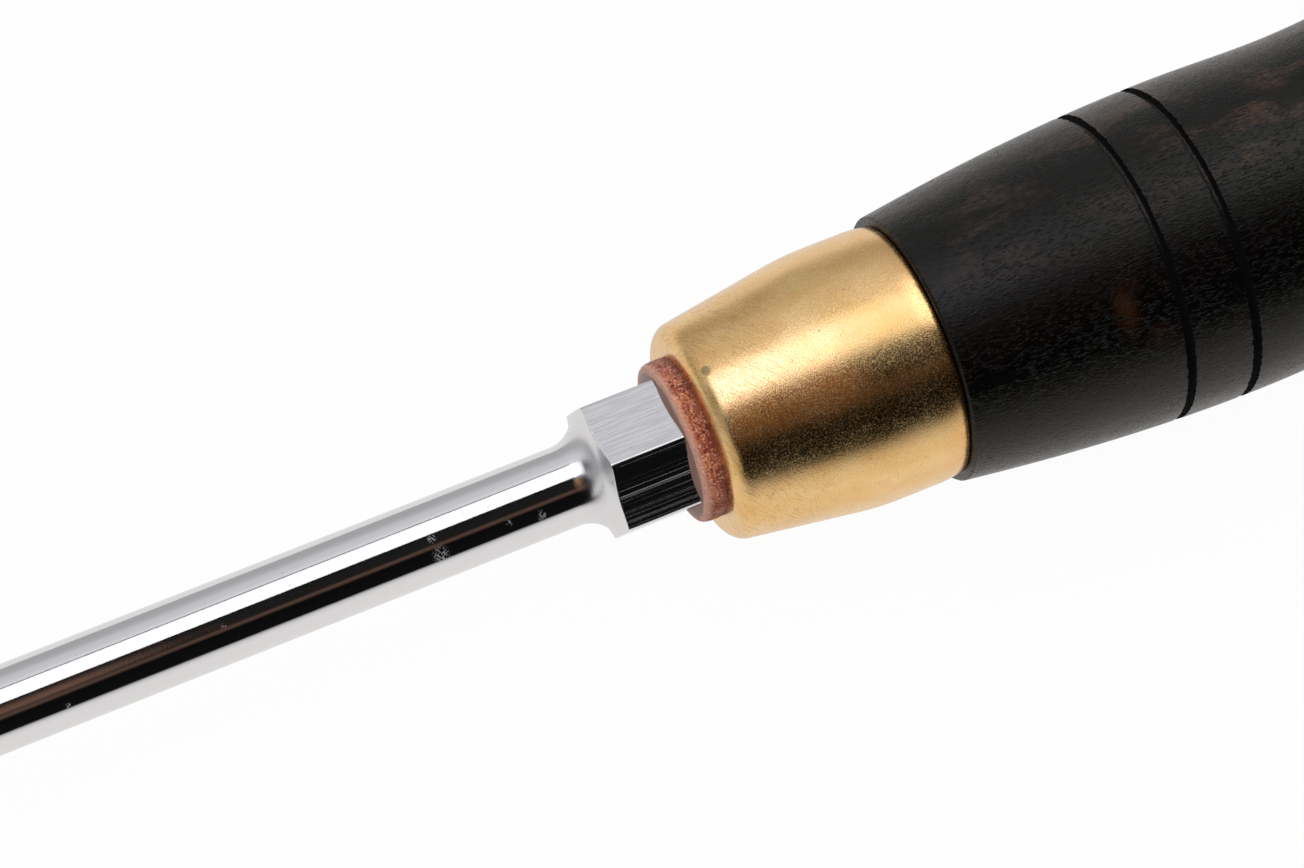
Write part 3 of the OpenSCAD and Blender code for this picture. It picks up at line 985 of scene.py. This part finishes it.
# Surroundings round the axis: degrees from straight up, positive to the back, and the tone there
SURROUND = [
    (-180, (0.01, 0.01, 0.01)),
    (-60, (0.004, 0.004, 0.004)),
    (-56, (0.06, 0.036, 0.028)),
    (-52, (0.105, 0.062, 0.048)),
    (-48, (0.05, 0.032, 0.026)),
    (-45, (0.014, 0.012, 0.011)),
    (-30, (0.013, 0.013, 0.013)),
    (-10, (0.006, 0.006, 0.006)),
    (20, (0.006, 0.006, 0.006)),
    (22.4, (0.25, 0.25, 0.26)),
    (23, (0.84, 0.84, 0.87)),
    (34, (0.69, 0.69, 0.72)),
    (48, (0.64, 0.64, 0.67)),
    (60, (0.5, 0.5, 0.52)),
    (72, (0.44, 0.44, 0.45)),
    (105, (0.46, 0.46, 0.46)),
    (180, (0.44, 0.44, 0.45)),
]
# Brown glows low in front: tone, then degrees and shares of X where each starts, peaks and ends
GLOWS = [
    ((0.32, 0.175, 0.1), (-61, -25, -6), (-0.5, -0.1, 0.13)),
    ((0.165, 0.09, 0.066), (-50, -39, -20), (0.03, 0.1, 0.13)),
]
# Grey beyond the tip, by the share of X, and brighter low in front: its tones and the degrees between them.
# In front, between the outer two of three angles, it reaches least far at the middle one
TIP_TONES = (rgba(0.37, 0.37, 0.375), rgba(0.86, 0.86, 0.865))
TIP_TURN = (-35, -80)
TIP_X = (-0.73, -0.98)
TIP_TAPER = 0.5
TIP_FRONT = (-87, -50, -13)
TIP_FRONT_EDGE = 0.1


def build_world():
    """Surroundings that show in reflections; the camera sees white."""
    world = bpy.data.worlds.new("studio")
    bpy.context.scene.world = world
    world.use_nodes = True
    n = Nodes(world.node_tree)
    n.tree.nodes.clear()
    coord = n.node("ShaderNodeTexCoord")
    split = n.node("ShaderNodeSeparateXYZ", {"Vector": coord.outputs["Generated"]})
    angle = n.math("ARCTAN2", split.outputs["Y"], split.outputs["Z"])
    ramp = n.node("ShaderNodeValToRGB", {"Fac": n.span(angle, -math.pi, math.pi, smooth=False)})
    stops = ramp.color_ramp.elements
    stops[0].color = rgba(*SURROUND[0][1])
    stops[-1].color = rgba(*SURROUND[-1][1])
    for degrees, tone in SURROUND[1:-1]:
        stops.new((degrees + 180) / 360).color = rgba(*tone)
    tones = ramp.outputs["Color"]
    for tone, turns, shares in GLOWS:
        round_axis = n.hump(angle, *(math.radians(a) for a in turns))
        along_axis = n.hump(split.outputs["X"], *shares)
        tones = n.mix(n.product(round_axis, along_axis), tones, rgba(*tone))
    start, middle, end = (math.radians(a) for a in TIP_FRONT)
    off = n.math("ABSOLUTE", n.math("SUBTRACT", angle, middle))
    before_end = n.span(angle, end + TIP_FRONT_EDGE, end)
    after_start = n.span(angle, start - TIP_FRONT_EDGE, start)
    lean = n.product(off, TIP_TAPER, before_end, after_start)
    reach = n.math("SUBTRACT", split.outputs["X"], lean)
    beyond = n.mix(n.span(angle, *(math.radians(a) for a in TIP_TURN)), *TIP_TONES)
    tones = n.mix(n.span(reach, *TIP_X), tones, beyond)
    around = n.node("ShaderNodeBackground", {"Color": tones})
    white = n.node("ShaderNodeBackground", {"Color": WHITE})
    path = n.node("ShaderNodeLightPath")
    both = n.node("ShaderNodeMixShader", {
        0: path.outputs["Is Camera Ray"], 1: around.outputs[0], 2: white.outputs[0]})
    n.node("ShaderNodeOutputWorld", {"Surface": both.outputs[0]})


def add_lamp(name, shape, place, size, radiance, tone=(1.0, 1.0, 1.0)):
    """Flat lamp, unseen by the camera; size is (along, across) in metres."""
    lamp = bpy.data.lights.new(name, "AREA")
    lamp.shape = shape
    lamp.size, lamp.size_y = size
    lamp.color = tone
    filled = math.pi / 4 if shape == "ELLIPSE" else 1.0
    lamp.energy = radiance * math.pi * filled * size[0] * size[1]
    obj = bpy.data.objects.new(name, lamp)
    obj.location = place
    obj.visible_camera = False
    bpy.context.scene.collection.objects.link(obj)
    return obj


# Each softbox: shape, ends along the axis in metres, edges in degrees from straight up, radiance and tone.
# Each hangs a little lower than the one before
SOFTBOX_HEIGHT = 0.6
SOFTBOX_GAP = 0.005
SOFTBOXES = {
    "softbox": ("RECTANGLE", (-0.37, 0.7), (-17, 20), 1.25, (1.0, 1.0, 1.0)),
    "softbox_core": ("ELLIPSE", (-0.17, 0.14), (-17, 20), 1.65, (0.48, 0.53, 1.0)),
    "softbox_end": ("ELLIPSE", (0.36, 0.66), (-17, 33), 1.2, (0.85, 0.9, 1.0)),
}
# Fill lamp for the near side, kept out of the reflections
FILL_PLACE = (-0.25, -0.5, 0.94)
FILL_SIZE = 1.0
FILL_RADIANCE = 2.2


def build_lamps():
    """Softboxes overhead, of which only the first lights rough surfaces, and the fill lamp."""
    for k, (name, (shape, ends_m, edges, radiance, tone)) in enumerate(SOFTBOXES.items()):
        height = SOFTBOX_HEIGHT - k * SOFTBOX_GAP
        front, back = (height * math.tan(math.radians(a)) for a in edges)
        start, stop = ends_m
        middle = ((start + stop) / 2, (front + back) / 2, height)
        softbox = add_lamp(name, shape, middle, (stop - start, back - front), radiance, tone)
        softbox.visible_diffuse = k == 0
    fill = add_lamp("fill", "RECTANGLE", FILL_PLACE, (FILL_SIZE, FILL_SIZE), FILL_RADIANCE)
    aim = Vector((HEX_BACK * MM, 0, 0)) - fill.location
    fill.rotation_euler = aim.to_track_quat("-Z", "Y").to_euler()
    fill.visible_glossy = False


# Camera: how the blade stands in the picture, and where the front of the hexagon is seen
IMAGE_W = 1304
FOCAL_PX = 5242
SENSOR_MM = 36.0
CLIP_START = 0.01
AXIS_CLIMB = math.radians(21.5155)
AXIS_AWAY = math.radians(12.7276)
NEAR_FROM_UP = math.radians(32.0)
HEX_SEEN_MM = (-4.102, -3.002, -395.175)


def build_camera():
    """Camera worked out from how the tool stands in the picture."""
    level = math.cos(AXIS_AWAY)
    axis = Vector((level * math.cos(AXIS_CLIMB), level * math.sin(AXIS_CLIMB), -math.sin(AXIS_AWAY)))
    back = Vector((0, 0, 1))
    near = (back - axis * back.dot(axis)).normalized()
    side = near.cross(axis)
    c, s = math.cos(NEAR_FROM_UP), math.sin(NEAR_FROM_UP)
    # Axis, way to the camera and way across, in the frame
    in_world = Matrix([(1, 0, 0), (0, -s, c), (0, c, s)]).transposed()
    turn = in_world @ Matrix([axis, near, side])
    camera = bpy.data.cameras.new("camera")
    camera.sensor_fit = "HORIZONTAL"
    camera.sensor_width = SENSOR_MM
    camera.lens = SENSOR_MM * FOCAL_PX / IMAGE_W
    camera.clip_start = CLIP_START
    obj = bpy.data.objects.new("camera", camera)
    place = Vector((HEX_FRONT * MM, 0, 0)) - turn @ (Vector(HEX_SEEN_MM) * MM)
    obj.matrix_world = Matrix.Translation(place) @ turn.to_4x4()
    bpy.context.scene.collection.objects.link(obj)
    bpy.context.scene.camera = obj


def main():
    bpy.context.scene.view_settings.view_transform = "Standard"
    build_blade().data.materials.append(chrome_material())
    build_ferrule().data.materials.append(brass_material())
    handle = build_handle().data
    handle.materials.append(wood_material())
    handle.materials.append(groove_material())
    build_bolster_washer().data.materials.append(bolster_leather_material())
    build_butt_washer().data.materials.append(butt_leather_material())
    build_cap().data.materials.append(steel_material())
    build_floor()
    build_world()
    build_lamps()
    build_camera()


main()
